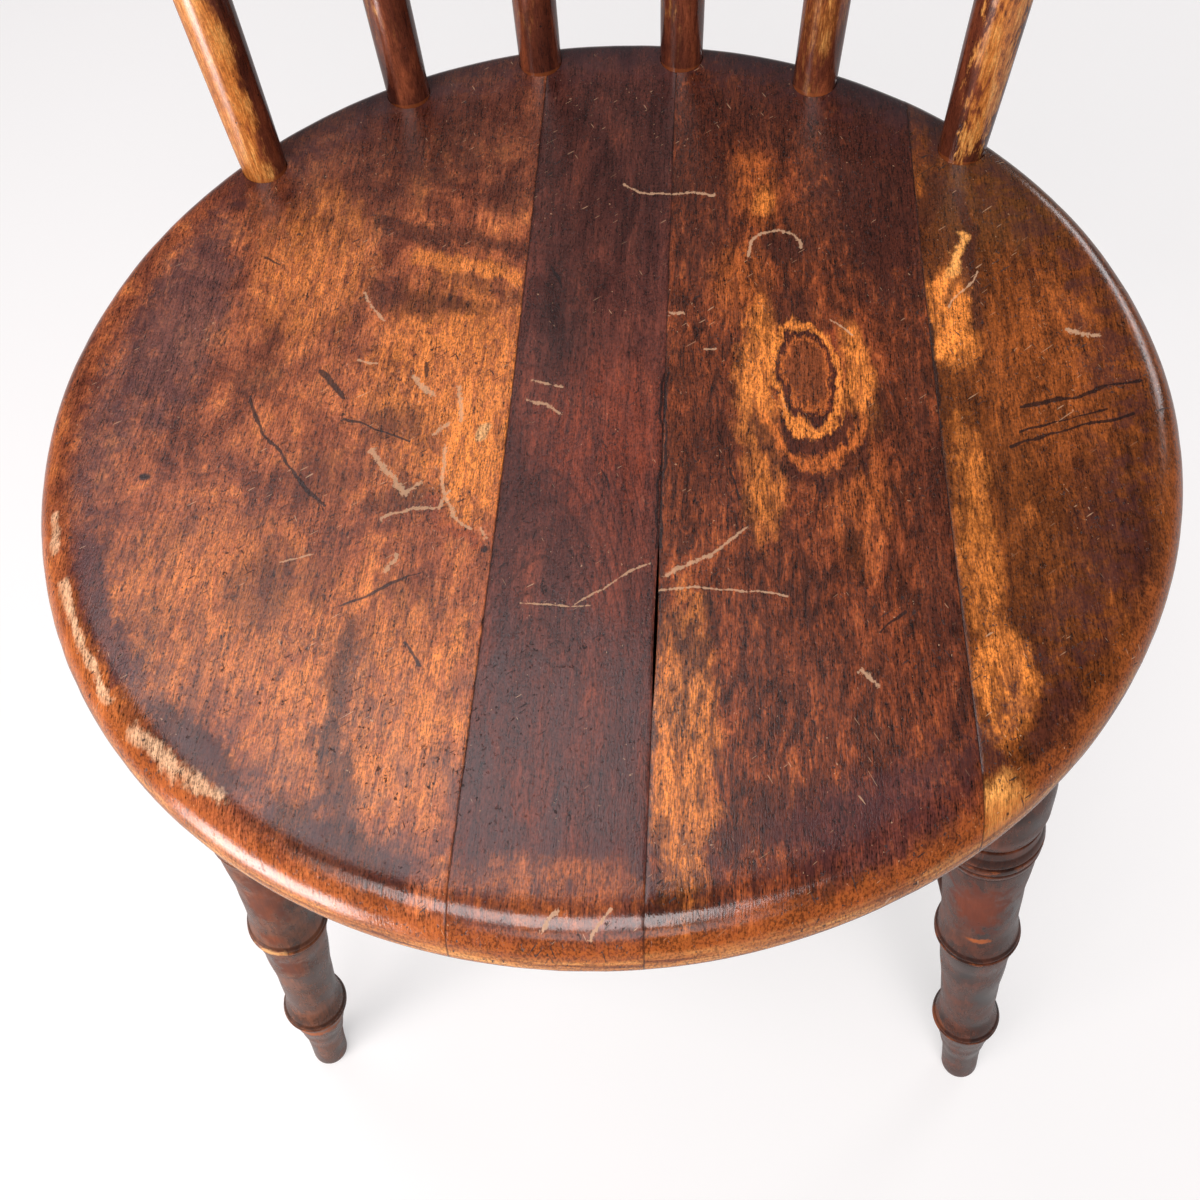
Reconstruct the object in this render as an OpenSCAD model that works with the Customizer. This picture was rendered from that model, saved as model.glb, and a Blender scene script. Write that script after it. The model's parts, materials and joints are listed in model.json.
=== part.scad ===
// Round-seated wooden kitchen chair: four edge-glued seat boards, four ring-turned splayed legs
// tied by an H of stretchers, and six turned back sticks held by a bent top rail.
// Millimetres, +Z up, floor at z = 0. The chair faces -Y, and left is -X as seen from the front.

/* [Seat] */
// Diameter of the round seat
seat_d = 380; // [360:5:400]
// Height of the seat's top edge above the floor
seat_h = 440; // [420:5:460]
// Thickness of the seat boards
seat_t = 28; // [26:1:32]
// Depth of the dished middle of the seat
dish_depth = 6.7; // [3:0.1:8]
// Width of the rim outside the dish
rim_w = 16; // [15:1:20]
// Radius of the rounded top edge
nose_r = 13.5; // [11:0.5:14]
// How far the underside is set in from the rim
undercut = 6; // [2:0.5:8]

/* [Seat boards] */
// Turn of the board joints away from straight back, in degrees
board_skew = 1.5; // [-3:0.1:3]
// Left joint, measured from the seat's middle
joint_left = -29.9; // [-60:0.1:-25]
// Middle joint, measured from the seat's middle
joint_mid = 22.1; // [10:0.1:40]
// Right joint, measured from the seat's middle
joint_right = 111.7; // [95:0.1:120]

/* [Back sticks] */
// Radius of the circle the sticks stand on
stick_ring_r = 174; // [172:0.5:175]
// Angle from straight back to an inner stick
angle_inner = 9.5; // [8:0.1:11]
// Angle from straight back to a middle stick
angle_middle = 27.8; // [26:0.1:30]
// Angle from straight back to an outer stick
angle_outer = 49.9; // [48:0.1:52]
// Diameter of a stick where it enters the seat
stick_seat_d = 17; // [15:0.1:18]
// Diameter of a stick where it enters the top rail
stick_top_d = 14; // [12:0.1:15]
// Extra diameter of the outer sticks at their fullest
outer_swell = 4.2; // [0:0.1:5]
// Extra diameter of the other sticks at their fullest
inner_swell = 1.8; // [0:0.1:3]
// Depth of a stick's socket in the seat
stick_socket = 19; // [15:0.5:20]

/* [Top rail] */
// Height of the rail's lower edge above the seat's top edge
rail_rise = 385; // [340:5:420]
// Radius of the rail's bend, at the middle of its lower edge
rail_bend_r = 253; // [245:1:262]
// How far the centre of the bend lies in front of the seat's middle
rail_setback = 10.6; // [8:0.1:14]
// Angle between neighbouring sticks where they enter the rail
rail_pitch = 16.4; // [15.5:0.1:17]
// Angle of the rail that stands past each outer stick
rail_overhang = 7.5; // [6:0.1:9]
// Height of the rail along its lean
rail_h = 62; // [55:1:75]
// Thickness of the rail
rail_t = 21; // [20:1:26]
// Outward lean of the rail, in degrees
rail_lean = 10; // [8:0.5:12]
// Rounding of the rail's top corners
rail_corner_r = 46; // [30:1:54]
// Depth of a stick's socket in the rail
rail_socket = 24; // [18:1:30]

/* [Legs] */
// Sideways offset of all the legs under the seat
leg_shift = 4; // [-6:1:6]
// Distance between the front feet
front_spread = 370; // [350:2:390]
// How far the front feet stand in front of the seat's middle
front_reach = 136; // [125:1:150]
// Distance between the front legs at the underside of the seat
front_top_spread = 242; // [236:1:250]
// How far the tops of the front legs are in front of the seat's middle
front_top_reach = 108; // [100:1:112]
// Distance between the back feet
back_spread = 330; // [310:2:350]
// How far the back feet stand behind the seat's middle
back_reach = 196; // [180:1:210]
// Distance between the back legs at the underside of the seat
back_top_spread = 190; // [180:1:196]
// How far the tops of the back legs are behind the seat's middle
back_top_reach = 104; // [98:1:108]
// Diameter of a leg's upper end, where it enters the seat
leg_tenon_d = 24; // [22:0.5:26]
// Depth of the leg's socket in the seat
leg_socket = 16; // [12:0.5:17]
// Diameter of the foot
foot_d = 19.4; // [18:0.2:22]
// Diameter of the lower part of the shank
shank_d = 26; // [25:0.5:27]
// Diameter of the leg just under its top rings
upper_d = 33.6; // [32:0.2:34]
// Diameter of the lowest pair of rings
low_ring_d = 32.8; // [31:0.2:34]
// Diameter of the middle pair of rings
mid_ring_d = 34.2; // [33:0.2:36]
// Diameter of the top pair of rings
top_ring_d = 36.2; // [35:0.2:38]

/* [Stretchers] */
// Height of the stretchers above the floor
stretcher_h = 168; // [155:1:180]
// Diameter of the stretchers' ends
stretcher_end_d = 13; // [12:0.5:14]
// Diameter of the stretchers in the middle
stretcher_mid_d = 21; // [20:0.5:23]
// Depth of a stretcher's end in a leg
stretcher_tenon = 10; // [8:0.5:11]

/* [Hidden] */
$fn = 64;

play = 0.05; // Clearance round a tenon in its socket
over = 4;    // Overshoot of a cut past the surface it opens

seat_r = seat_d / 2;
dish_r = seat_r - rim_w;
dish_ball_r = (dish_r * dish_r + dish_depth * dish_depth) / (2 * dish_depth);
under_h = seat_h - seat_t;
stretcher_straight = shank_d;                 // Straight part at each end of a stretcher
side_inset = shank_d / 2 - stretcher_tenon;   // From a leg's centre line to the end of its stretcher
cross_inset = stretcher_mid_d / 2 - 7;        // The same, where the cross stretcher enters a side one

// The origin lies on the floor, midway between the front of the seat and the back of the top rail
rail_half_angle = 2.5 * rail_pitch + rail_overhang;
rail_back = rail_bend_r - rail_setback + rail_h * sin(rail_lean) + rail_t / 2 * cos(rail_lean);
seat_y = (seat_r - rail_back) / 2;
seat_mid = [0, seat_y, 0];
bend_mid = [0, seat_y - rail_setback, 0];

// Sticks, counted from the left
stick_angles = [-angle_outer, -angle_middle, -angle_inner, angle_inner, angle_middle, angle_outer];
stick_swells = [outer_swell, inner_swell, inner_swell, inner_swell, inner_swell, outer_swell];

// Where a stick's centre line crosses the level of the seat's top edge
function stick_foot(i) = seat_mid
    + [stick_ring_r * sin(stick_angles[i]), stick_ring_r * cos(stick_angles[i]), seat_h];

// Where a stick's centre line crosses the level of the rail's lower edge
function rail_angle(i) = (i - 2.5) * rail_pitch;
function stick_head(i) = bend_mid
    + [rail_bend_r * sin(rail_angle(i)), rail_bend_r * cos(rail_angle(i)), seat_h + rail_rise];

// Centre line of a leg: side is -1 on the left and 1 on the right, end is -1 in front and 1 behind
function leg_foot(side, end) = end < 0
    ? [leg_shift + side * front_spread / 2, seat_y - front_reach, 0]
    : [leg_shift + side * back_spread / 2, seat_y + back_reach, 0];
function leg_head(side, end) = end < 0
    ? [leg_shift + side * front_top_spread / 2, seat_y - front_top_reach, under_h]
    : [leg_shift + side * back_top_spread / 2, seat_y + back_top_reach, under_h];
function leg_at(side, end, h) = leg_foot(side, end)
    + (leg_head(side, end) - leg_foot(side, end)) * h / under_h;

// Middle of a side stretcher
function side_mid(side) = (leg_at(side, -1, stretcher_h) + leg_at(side, 1, stretcher_h)) / 2;

// Stands its children on p with their +Z pointing at q
module along(p, q) {
    d = q - p;
    translate(p) rotate([0, acos(d[2] / norm(d)), atan2(d[1], d[0])]) children();
}

// ---- Seat ----

// Half section of the seat: a rounded top edge over a side that leans in towards the underside
module seat_section() {
    nose_x = seat_r - nose_r;
    nose_y = seat_t - nose_r;
    translate([nose_x, nose_y]) circle(r = nose_r);
    polygon([
        [0, 0],
        [seat_r - undercut, 0],
        [seat_r, nose_y],
        [nose_x, nose_y],
        [nose_x, seat_t],
        [0, seat_t]
    ]);
}

module seat_blank() {
    difference() {
        rotate_extrude($fn = 180) seat_section();
        translate([0, 0, seat_t - dish_depth + dish_ball_r]) sphere(r = dish_ball_r, $fn = 360);
    }
}

module stick_socket_cut(i) {
    along(stick_foot(i), stick_head(i)) translate([0, 0, -stick_socket])
        cylinder(d = stick_seat_d + 2 * play, h = stick_socket + over);
}

module leg_socket_cut(side, end) {
    along(leg_head(side, end), leg_foot(side, end)) translate([0, 0, -leg_socket])
        cylinder(d = leg_tenon_d + 2 * play, h = leg_socket + over);
}

// The part of the seat between two joint lines, each measured from the seat's middle
module board(from_x, to_x) {
    difference() {
        translate([0, seat_y, under_h]) intersection() {
            seat_blank();
            rotate(-board_skew) translate([from_x, -seat_r - over, -over])
                cube([to_x - from_x, seat_d + 2 * over, seat_t + 2 * over]);
        }
        for (i = [0:5]) stick_socket_cut(i);
        for (side = [-1, 1], end = [-1, 1]) leg_socket_cut(side, end);
    }
}

module seat_board_left() { color("sienna") board(-seat_r - over, joint_left); }
module seat_board_mid_left() { color("#5c3018") board(joint_left, joint_mid); }
module seat_board_mid_right() { color("saddlebrown") board(joint_mid, joint_right); }
module seat_board_right() { color("#b0752a") board(joint_right, seat_r + over); }

// ---- Back ----

// Radius of a stick a share t of the way from seat to rail: a slow taper, fullest low down
function stick_radius(t, swell) = stick_seat_d / 2
    + (stick_top_d - stick_seat_d) / 2 * t
    + swell / 2 * sin(180 * pow(t, 0.8));

module stick(i) {
    rise = norm(stick_head(i) - stick_foot(i));
    steps = 14;
    shaft = [for (k = [0:steps]) [stick_radius(k / steps, stick_swells[i]), rise * k / steps]];
    low = play - stick_socket;
    high = rise + rail_socket - play;
    along(stick_foot(i), stick_head(i)) rotate_extrude()
        polygon(concat([[0, low], [stick_seat_d / 2, low]], shaft, [[stick_top_d / 2, high], [0, high]]));
}

module back_stick_1() { color("#a86a28") stick(0); }
module back_stick_2() { color("#5a2a18") stick(1); }
module back_stick_3() { color("#5a2a18") stick(2); }
module back_stick_4() { color("#5a2a18") stick(3); }
module back_stick_5() { color("#5a2a18") stick(4); }
module back_stick_6() { color("#7a4a1c") stick(5); }

// Section of the rail, standing on its lower edge
module rail_section() {
    r = 6;
    w = rail_t / 2;
    for (x = [r - w, w - r], y = [r, rail_h - r]) translate([x, y]) circle(r = r);
    translate([-w, r]) square([rail_t, rail_h - 2 * r]);
    translate([r - w, 0]) square([rail_t - 2 * r, rail_h]);
}

// Front view of the rail, which rounds its top corners
module rail_front() {
    half_w = rail_bend_r * sin(rail_half_angle) + rail_t;
    r = rail_corner_r;
    for (side = [-1, 1]) translate([side * (half_w - r), rail_h - r]) circle(r = r, $fn = 96);
    translate([-half_w, -over]) square([2 * half_w, rail_h - r + over]);
    translate([r - half_w, -over]) square([2 * (half_w - r), rail_h + over]);
}

module top_rail() {
    color("#5a2a18") difference() {
        translate(bend_mid + [0, 0, seat_h + rail_rise]) intersection() {
            rotate(90 - rail_half_angle) rotate_extrude(angle = 2 * rail_half_angle, $fn = 240)
                translate([rail_bend_r, 0]) rotate(-rail_lean) rail_section();
            translate([0, 2 * rail_bend_r, 0]) rotate([90, 0, 0])
                linear_extrude(2 * rail_bend_r) rail_front();
        }
        for (i = [0:5])
            along(stick_head(i), 2 * stick_head(i) - stick_foot(i)) translate([0, 0, -over])
                cylinder(d = stick_top_d + 2 * play, h = rail_socket + over);
    }
}

// ---- Legs ----

// Half section of a leg's turning, each point a radius and a height along the leg, over a round end
module leg_section(length) {
    foot = foot_d / 2;
    shank = shank_d / 2;
    upper = upper_d / 2;
    tenon = leg_tenon_d / 2;
    ball_h = 0.78 * foot;
    intersection() {
        translate([0, ball_h]) circle(r = foot);
        translate([0, -over]) square([foot, over + ball_h]);
    }
    polygon([
        [0, ball_h],
        [foot, ball_h],
        [foot, 25],
        [foot + 0.3, 44],
        [foot + 2, 66],
        [shank + 0.6, 86],
        [shank + 1, 96],
        [shank - 0.2, 118],
        [shank + 0.2, 162],
        [shank + 1.5, 198],
        [shank + 2.2, 222],
        [shank + 2.2, 256],
        [upper - 1.4, 284],
        [upper, 318],
        [upper + 0.3, 350],
        [upper + 1.7, 361],
        [upper + 2, 376],
        [upper + 0.6, 396],
        [tenon, length - 8],
        [tenon, length + leg_socket - play],
        [0, length + leg_socket - play]
    ]);
    ring_pair(103, low_ring_d, 5, 8.5);
    ring_pair(232, mid_ring_d, 5, 9.5);
    ring_pair(335, top_ring_d, 6.5, 19);
}

// Two beads a gap apart, centred at height h on a ring of diameter d
module ring_pair(h, d, bead_r, gap) {
    for (y = [h - gap / 2, h + gap / 2]) translate([d / 2 - bead_r, y]) circle(r = bead_r, $fn = 32);
}

// The foot is cut level with the floor, and the upper end goes straight on into the seat
module leg(side, end) {
    foot = leg_foot(side, end);
    head = leg_head(side, end);
    difference() {
        along(foot, head) rotate_extrude() leg_section(norm(head - foot));
        translate(foot + [-foot_d, -foot_d, -2 * foot_d]) cube(2 * foot_d);
        side_stretcher_cut(side);
    }
}

module leg_front_left() { color("#3a2018") leg(-1, -1); }
module leg_front_right() { color("#3a2018") leg(1, -1); }
module leg_back_left() { color("#3a2018") leg(-1, 1); }
module leg_back_right() { color("#3a2018") leg(1, 1); }

// ---- Stretchers ----

// A turned bar from p to q, fullest in the middle, that stops short of both points by inset
module stretcher(p, q, inset) {
    length = norm(q - p);
    steps = 12;
    span = length - 2 * stretcher_straight;
    end_r = stretcher_end_d / 2;
    swell = (stretcher_mid_d - stretcher_end_d) / 2;
    bar = [for (k = [0:steps]) [
        end_r + swell * pow(sin(180 * k / steps), 1.4),
        stretcher_straight + span * k / steps
    ]];
    along(p, q) rotate_extrude()
        polygon(concat([[0, inset], [end_r, inset]], bar, [[end_r, length - inset], [0, length - inset]]));
}

// Socket at p for the end of a stretcher that runs from p to q
module stretcher_socket(p, q, inset) {
    along(p, q) translate([0, 0, inset - play])
        cylinder(d = stretcher_end_d + 2 * play, h = stretcher_straight - inset);
}

module side_stretcher_cut(side) {
    front = leg_at(side, -1, stretcher_h);
    back = leg_at(side, 1, stretcher_h);
    stretcher_socket(front, back, side_inset);
    stretcher_socket(back, front, side_inset);
}

module side_stretcher(side) {
    difference() {
        stretcher(leg_at(side, -1, stretcher_h), leg_at(side, 1, stretcher_h), side_inset);
        stretcher_socket(side_mid(side), side_mid(-side), cross_inset);
    }
}

module side_stretcher_left() { color("#3a2018") side_stretcher(-1); }
module side_stretcher_right() { color("#3a2018") side_stretcher(1); }
module cross_stretcher() { color("#3a2018") stretcher(side_mid(-1), side_mid(1), cross_inset); }

seat_board_left();
seat_board_mid_left();
seat_board_mid_right();
seat_board_right();
back_stick_1();
back_stick_2();
back_stick_3();
back_stick_4();
back_stick_5();
back_stick_6();
top_rail();
leg_front_left();
leg_front_right();
leg_back_left();
leg_back_right();
side_stretcher_left();
side_stretcher_right();
cross_stretcher();
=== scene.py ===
import json
import math

import bmesh
import bpy
import numpy as np
from mathutils import Matrix, Vector, noise


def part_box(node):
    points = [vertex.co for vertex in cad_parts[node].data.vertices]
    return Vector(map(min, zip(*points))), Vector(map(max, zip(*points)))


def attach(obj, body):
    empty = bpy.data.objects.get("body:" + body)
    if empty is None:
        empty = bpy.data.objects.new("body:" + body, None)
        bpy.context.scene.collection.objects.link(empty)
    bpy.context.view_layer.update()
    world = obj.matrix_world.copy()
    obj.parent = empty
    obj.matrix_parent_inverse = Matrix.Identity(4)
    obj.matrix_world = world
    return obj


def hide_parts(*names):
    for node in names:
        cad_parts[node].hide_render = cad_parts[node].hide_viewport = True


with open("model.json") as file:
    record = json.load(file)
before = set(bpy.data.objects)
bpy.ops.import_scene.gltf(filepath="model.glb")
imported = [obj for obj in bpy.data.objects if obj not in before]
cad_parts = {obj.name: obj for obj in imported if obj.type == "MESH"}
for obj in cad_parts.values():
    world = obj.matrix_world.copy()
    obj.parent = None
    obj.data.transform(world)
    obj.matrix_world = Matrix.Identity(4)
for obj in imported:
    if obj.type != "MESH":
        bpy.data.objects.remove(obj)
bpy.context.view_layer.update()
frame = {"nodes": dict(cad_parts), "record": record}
mm = 0.001
print("frame loaded:", len(frame["nodes"]), "nodes")


def smooth(x):
    x = max(0.0, min(1.0, x))
    return x * x * (3 - 2 * x)


# slow noise from -1 to 1, with its own place for each seed
def waver(point, size, seed):
    return noise.noise(Vector((point[0] / size + 7.3 * seed, point[1] / size, point[2] / size)))


# spins a half section, given as (radius, height) in mm from pole to pole, into a round body
def spinBody(section, steps):
    bm = bmesh.new()
    chain = [bm.verts.new((radius * mm, 0, height * mm)) for radius, height in section]
    links = [bm.edges.new(pair) for pair in zip(chain, chain[1:])]
    bmesh.ops.spin(bm, geom=chain + links, cent=(0, 0, 0), axis=(0, 0, 1), angle=2 * math.pi, steps=steps,
            use_merge=True)
    bmesh.ops.remove_doubles(bm, verts=bm.verts, dist=0.002 * mm)
    return bm


def closeHoles(bm):
    bmesh.ops.holes_fill(bm, edges=[edge for edge in bm.edges if edge.is_boundary], sides=0)


# seat_board_left becomes seatBoardLeft
def pieceName(node):
    words = "".join(part.capitalize() for part in node.split("_"))
    return words[0].lower() + words[1:]


def link(name, data):
    made = bpy.data.objects.new(name, data)
    bpy.context.scene.collection.objects.link(made)
    return made


def meshObject(name, bm):
    mesh = bpy.data.meshes.new(name)
    bm.to_mesh(mesh)
    bm.free()
    return link(name, mesh)


def finishPiece(bm, name, node, material, sharp=35):
    bmesh.ops.remove_doubles(bm, verts=bm.verts, dist=0.005 * mm)
    bmesh.ops.recalc_face_normals(bm, faces=bm.faces)
    for face in bm.faces:
        face.smooth = True
    for edge in bm.edges:
        if len(edge.link_faces) == 2 and edge.calc_face_angle(0) > math.radians(sharp):
            edge.smooth = False
    piece = meshObject(name, bm)
    piece.data.materials.append(material)
    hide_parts(node)
    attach(piece, "root")
    return piece


# both ends of a turned node's centre line, from the discs that close it
def centreLine(node, floorMount=None):
    points = np.array([v.co for v in frame["nodes"][node].data.vertices])
    middle = points.mean(0)
    direction = np.linalg.svd(points - middle, full_matrices=False)[2][0]
    direction = direction * (1 if direction[np.argmax(np.abs(direction))] > 0 else -1)
    reach = (points - middle) @ direction
    high = Vector(points[reach > reach.max() - 0.2 * mm].mean(0))
    low = Vector(points[reach < reach.min() + 0.2 * mm].mean(0))
    if floorMount:
        low = Vector(next(m["pos_m"] for m in frame["record"]["mounts"] if m["name"] == floorMount))
    return low, high


def standAlong(low, high):
    turn = (high - low).to_track_quat("Z", "Y").to_matrix().to_4x4()
    return Matrix.Translation(low) @ turn


# cuts round sockets, each (low end, high end, radius in mm), out of a finished piece
def cutSockets(piece, sockets):
    bm = bmesh.new()
    for low, high, radius in sockets:
        made = bmesh.ops.create_cone(bm, cap_ends=True, segments=48, radius1=radius * mm,
                radius2=radius * mm, depth=(high - low).length)
        bmesh.ops.transform(bm, verts=made["verts"], matrix=standAlong((low + high) / 2, high))
    cutter = meshObject("socketCutter", bm)
    cut = piece.modifiers.new("sockets", "BOOLEAN")
    cut.object = cutter
    cut.solver = "EXACT"
    graph = bpy.context.evaluated_depsgraph_get()
    result = bpy.data.meshes.new_from_object(piece.evaluated_get(graph))
    piece.modifiers.clear()
    piece.data = result
    bpy.data.objects.remove(cutter)


class Nodes:
    def __init__(self, name):
        self.material = bpy.data.materials.new(name)
        self.material.use_nodes = True
        self.tree = self.material.node_tree
        self.shader = self.tree.nodes["Principled BSDF"]

    def set(self, socket, value):
        if isinstance(value, bpy.types.NodeSocket):
            self.tree.links.new(value, socket)
        elif value is not None:
            socket.default_value = value

    def add(self, kind, values=(), named=None, **settings):
        made = self.tree.nodes.new(kind)
        for key, value in settings.items():
            setattr(made, key, value)
        for socket, value in zip(made.inputs, values):
            self.set(socket, value)
        for key, value in (named or {}).items():
            self.set(made.inputs[key], value)
        return made

    # coordinates in mm, turned and moved from the chair's own frame
    def place(self, turn, origin):
        where = self.add("ShaderNodeTexCoord").outputs["Object"]
        moved = turn @ (-Vector(origin) / mm)
        return self.add("ShaderNodeMapping", (where, moved, turn.to_euler(), (1 / mm,) * 3)).outputs[0]

    def sum(self, op, *values):
        return self.add("ShaderNodeMath", values, operation=op).outputs[0]

    def times(self, first, second):
        return self.sum("MULTIPLY", first, second)

    def timesPlus(self, first, second, third):
        return self.sum("MULTIPLY_ADD", first, second, third)

    def plus(self, first, second):
        return self.sum("ADD", first, second)

    def minus(self, first, second):
        return self.sum("SUBTRACT", first, second)

    def vector(self, op, *values):
        made = self.add("ShaderNodeVectorMath", values, operation=op)
        return made.outputs[1 if op in ("LENGTH", "DISTANCE", "DOT_PRODUCT") else 0]

    # the part of a place that lies across the piece
    def aside(self, at):
        return self.vector("MULTIPLY", at, (1, 1, 0))

    def fromAxis(self, at):
        return self.vector("LENGTH", self.aside(at))

    # how far a point of a round piece faces a direction, from -1 to 1
    def facing(self, at, direction):
        return self.vector("DOT_PRODUCT", self.vector("NORMALIZE", self.aside(at)), tuple(direction))

    def parts(self, vector):
        return self.add("ShaderNodeSeparateXYZ", (vector,)).outputs

    def remap(self, value, low, high, toLow=0.0, toHigh=1.0):
        made = self.add("ShaderNodeMapRange", (value, low, high, toLow, toHigh),
                interpolation_type="SMOOTHSTEP")
        return made.outputs[0]

    # noise whose grains are about size mm across, given as one number or one for each axis
    def noise(self, vector, size, detail=3.0, roughness=0.55, distortion=0.0, shift=0.0):
        sizes = size if isinstance(size, tuple) else (size,) * 3
        scaled = self.add("ShaderNodeMapping", (vector, (shift, shift / 2, shift / 3), None,
                tuple(1 / s for s in sizes))).outputs[0]
        made = self.add("ShaderNodeTexNoise", named={"Vector": scaled, "Scale": 1.0, "Detail": detail,
                "Roughness": roughness, "Distortion": distortion})
        return made.outputs[0]

    # dots of a cell pattern: 1 at the middle of each cell's dot
    def dots(self, vector, cell, radius, share, shift=0.0):
        scaled = self.add("ShaderNodeMapping", (vector, (shift, shift, 0), None,
                (1 / cell,) * 3)).outputs[0]
        made = self.add("ShaderNodeTexVoronoi", named={"Vector": scaled, "Scale": 1.0})
        near = self.remap(made.outputs["Distance"], radius / cell, 0.4 * radius / cell)
        chosen = self.parts(made.outputs["Color"])[0]
        return self.times(near, self.remap(chosen, 1 - share, 1.02 - share))

    def ramp(self, value, stops):
        made = self.add("ShaderNodeValToRGB", (value,))
        line = made.color_ramp.elements
        while len(line) < len(stops):
            line.new(0.5)
        for element, (place, colour) in zip(line, stops):
            element.position = place
            element.color = (*colour, 1)
        return made.outputs[0]

    def mix(self, share, first, second, blend="MIX"):
        made = self.add("ShaderNodeMix", data_type="RGBA", blend_type=blend)
        for index, value in ((0, share), (6, first), (7, second)):
            self.set(made.inputs[index], (*value, 1) if isinstance(value, tuple) else value)
        return made.outputs[2]

    # a share of one of the tones laid over a colour
    def lay(self, mask, share, colour, tone):
        return self.mix(self.times(mask, share), colour, tones[tone])

    def shade(self, colour, light):
        grey = self.add("ShaderNodeCombineColor", (light,) * 3).outputs[0]
        return self.mix(1.0, colour, grey, "MULTIPLY")

    def most(self, masks):
        total = masks[0]
        for mask in masks[1:]:
            total = self.sum("MAXIMUM", total, mask)
        return total

    # writes the finish into the shader
    def finish(self, colour, roughness, height, depth, shine=0.36):
        bump = self.add("ShaderNodeBump", named={"Strength": 1.0, "Distance": depth * mm, "Height": height})
        self.set(self.shader.inputs["Base Color"], colour)
        self.set(self.shader.inputs["Roughness"], roughness)
        self.set(self.shader.inputs["Normal"], bump.outputs[0])
        self.shader.inputs["Specular IOR Level"].default_value = shine
        return self.material


# a straight mark from one point to another: 1 on its line, fading at half its width
def lineMark(n, flat, start, end, width, ragged, edge=0.18, strength=1.0):
    run = Vector(end) - Vector(start)
    along = run / run.length_squared
    share = n.add("ShaderNodeMath", (n.vector("DOT_PRODUCT", flat, (*along, 0)), -along.dot(Vector(start))),
            operation="ADD", use_clamp=True).outputs[0]
    nearest = n.vector("MULTIPLY_ADD", share, (*run, 0), (*start, 0))
    away = n.timesPlus(n.vector("DISTANCE", flat, nearest), 1 / width, ragged)
    return n.remap(away, 0.5 + edge, 0.5 - edge, 0.0, strength)


def lineMarks(n, flat, points, width, ragged, edge=0.18, strength=1.0):
    total = 0.0
    for start, end in zip(points, points[1:]):
        total = n.sum("MAXIMUM", lineMark(n, flat, start, end, width, ragged, edge, strength), total)
    return total


# a soft oval patch with its own half lengths and turn
def patchMark(n, flat, ragged, strength, x, y, halfX, halfY, turn=0, edge=0.5):
    c, s = math.cos(math.radians(turn)), math.sin(math.radians(turn))
    first = Vector((c, s)) / halfX
    second = Vector((-s, c)) / halfY
    centre = Vector((x, y))
    a = n.plus(n.vector("DOT_PRODUCT", flat, (*first, 0)), -first.dot(centre))
    b = n.plus(n.vector("DOT_PRODUCT", flat, (*second, 0)), -second.dot(centre))
    size = n.timesPlus(a, a, n.timesPlus(b, b, ragged))
    return n.remap(size, (1 + edge) ** 2, (1 - edge) ** 2, 0.0, strength)


# colours that the varnish, stain and bare wood take, shared by every piece, and one painted dark reflection
# used on the seat
tones = {
    "black": (0.012, 0.006, 0.006),
    "burnt": (0.050, 0.012, 0.007),
    "plum": (0.075, 0.022, 0.022),
    "haze": (0.085, 0.034, 0.032),
    "red": (0.25, 0.045, 0.016),
    "rust": (0.20, 0.050, 0.014),
    "amber": (0.50, 0.125, 0.024),
    "gold": (0.88, 0.270, 0.046),
    "honey": (0.86, 0.37, 0.090),
    "bare": (0.72, 0.38, 0.15),
    "olive": (0.11, 0.038, 0.008),
    "smoke": (0.026, 0.022, 0.026),
    "scratch": (0.74, 0.45, 0.26),
}


seat = {
    "names": ["left", "mid_left", "mid_right", "right"],
    "skew": 1.5,           # turn of the joints, in degrees
    "dishDepth": 6.7,
    "rimWidth": 16,
    "noseRadius": 13.5,
    "undercut": 6,
    "steps": 300,
    "ringStep": 3,
    "rimWaver": 0.5,       # how unevenly the rim was worn
    "boardLift": {"left": -0.05, "mid_left": -0.18, "mid_right": -0.1, "right": 0.0},
    "jointBreak": 0.14,    # worn corner of each board at a joint
    "crack": {"from": -58, "to": -118, "open": 1.1, "depth": 14},
}

seatCorners = [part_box("seat_board_" + name) for name in seat["names"]]
seatLow = Vector([min(box[0][k] for box in seatCorners) for k in range(3)])
seatHigh = Vector([max(box[1][k] for box in seatCorners) for k in range(3)])
seatMiddle = Vector(((seatLow.x + seatHigh.x) / 2, (seatLow.y + seatHigh.y) / 2, seatHigh.z))
seatRadius = (seatHigh.x - seatLow.x) / 2 / mm
seatThickness = (seatHigh.z - seatLow.z) / mm
toBoards = Matrix.Rotation(math.radians(seat["skew"]), 3, "Z")
toChair = Matrix.Translation(seatMiddle) @ toBoards.inverted().to_4x4()


# right-hand edge of a board, in mm from the seat's middle
def boardEdge(name):
    node = frame["nodes"]["seat_board_" + name]
    return max((toBoards @ (v.co - seatMiddle)).x for v in node.data.vertices) / mm


joints = [boardEdge(name) for name in seat["names"][:3]]


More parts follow.
